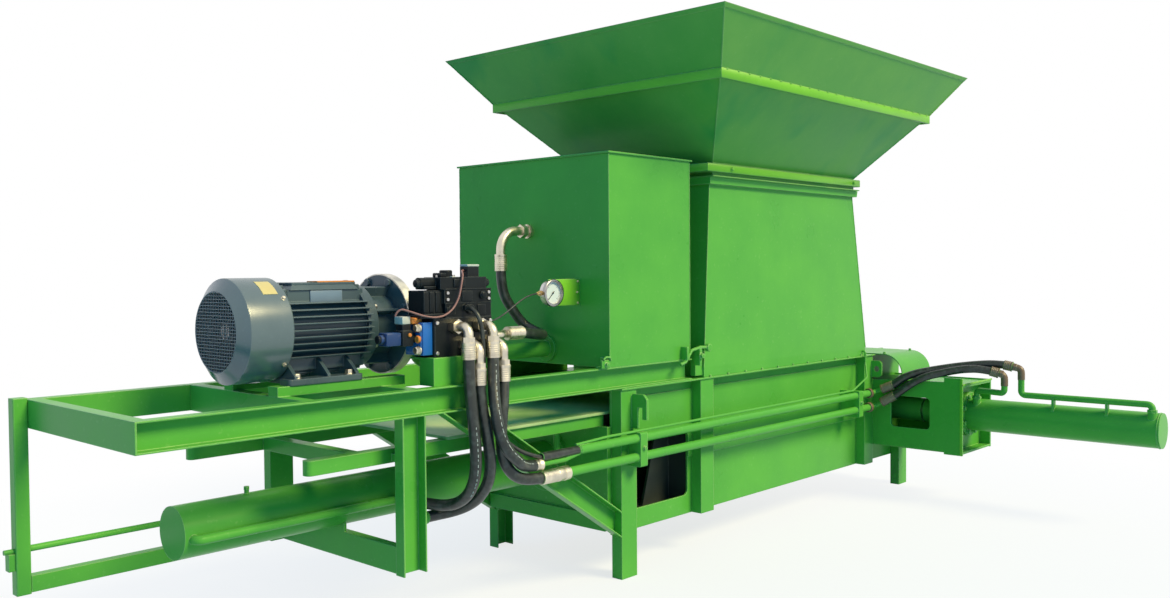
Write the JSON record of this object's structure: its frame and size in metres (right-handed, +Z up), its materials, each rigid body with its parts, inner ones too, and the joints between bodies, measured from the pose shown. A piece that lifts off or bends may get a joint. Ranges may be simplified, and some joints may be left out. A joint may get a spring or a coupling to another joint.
{
  "type": "square baler",
  "caption": "Side-ejecting hydraulic square baler with a flared feed hopper, oil tank, finned motor and pump, main ram and side ram.",
  "frame": {"origin": "on the floor under the middle of the machine's box, hoses left out", "axes": "+X from the motor end to the bale end, +Y from the working side to the rear, +Z up"},
  "size_m": [5.343, 2.965, 2.599],
  "materials": {
    "green_enamel": "gloss",
    "motor_enamel": "gloss",
    "cast_aluminium": "satin",
    "bright_steel": "satin",
    "chrome_rod": "polished",
    "worn_plate": "satin",
    "pump_paint": "satin",
    "valve_black": "satin",
    "valve_blue": "satin",
    "zinc_plate": "satin",
    "black_plastic": "matte",
    "hose_rubber": "matte"
  },
  "bodies": {
    "root": {"front_beam": "green_enamel", "rear_beam": "green_enamel", "cross_members": "green_enamel", "left_legs": "green_enamel", "leg_braces": "green_enamel", "slide_rails": "green_enamel", "diagonal_braces": "green_enamel", "front_wall": "green_enamel", "rear_wall": "green_enamel", "chamber_floor": "green_enamel", "chamber_roof": "green_enamel", "end_wall": "green_enamel", "front_uprights": "green_enamel", "rear_uprights": "green_enamel", "chamber_sills": "green_enamel", "throat": "green_enamel", "hopper_lower": "green_enamel", "hopper_upper": "green_enamel", "oil_tank": "green_enamel", "tank_lid": "green_enamel", "tank_breather": "black_plastic", "pressure_gauge": "bright_steel", "motor_housing": "motor_enamel", "fan_cowl": "motor_enamel", "terminal_box": "motor_enamel", "motor_flange": "motor_enamel", "bell_housing": "cast_aluminium", "hydraulic_pump": "pump_paint", "suction_pipe": "green_enamel", "valve_bracket": "green_enamel", "valve_manifold": "valve_black", "directional_valves": "valve_black", "pilot_valve": "valve_blue", "port_elbows": "zinc_plate", "tank_elbow": "zinc_plate", "supply_pipes": "green_enamel", "main_cylinder": "green_enamel", "side_box": "green_enamel", "side_guard": "green_enamel", "side_cylinder": "green_enamel", "side_pipes": "green_enamel", "hose_cap": "hose_rubber", "hose_rod": "hose_rubber", "hose_upper": "hose_rubber", "hose_lower": "hose_rubber", "return_hose": "hose_rubber", "side_hose_a": "hose_rubber", "side_hose_b": "hose_rubber", "pilot_hose": "hose_rubber", "gauge_capillary": "hose_rubber", "solenoid_wire": "hose_rubber"},
    "ram": {"main_ram": "green_enamel", "ram_cover": "worn_plate", "main_rod": "chrome_rod"},
    "pusher": {"side_pusher": "green_enamel", "side_rod": "chrome_rod"},
    "rotor": {"motor_shaft": "bright_steel", "cooling_fan": "black_plastic", "shaft_coupling": "bright_steel"},
    "needle": {"gauge_needle": "black_plastic"}
  },
  "joints": [
    {"name": "main_stroke", "type": "slide", "parent": "root", "child": "ram", "axis": [1, 0, 0], "range_m": [0, 1.81]},
    {"name": "side_stroke", "type": "slide", "parent": "root", "child": "pusher", "axis": [0, 1, 0], "range_m": [0, 0.765]},
    {"name": "motor_spin", "type": "hinge", "parent": "root", "child": "rotor", "pos_m": [-1.6265, 0.5295, 1.228], "axis": [1, 0, 0], "continuous": true},
    {"name": "gauge_reading", "type": "hinge", "parent": "root", "child": "needle", "pos_m": [-0.6115, 0.2835, 1.34], "axis": [0, 1, 0], "range_deg": [0, 270]}
  ]
}
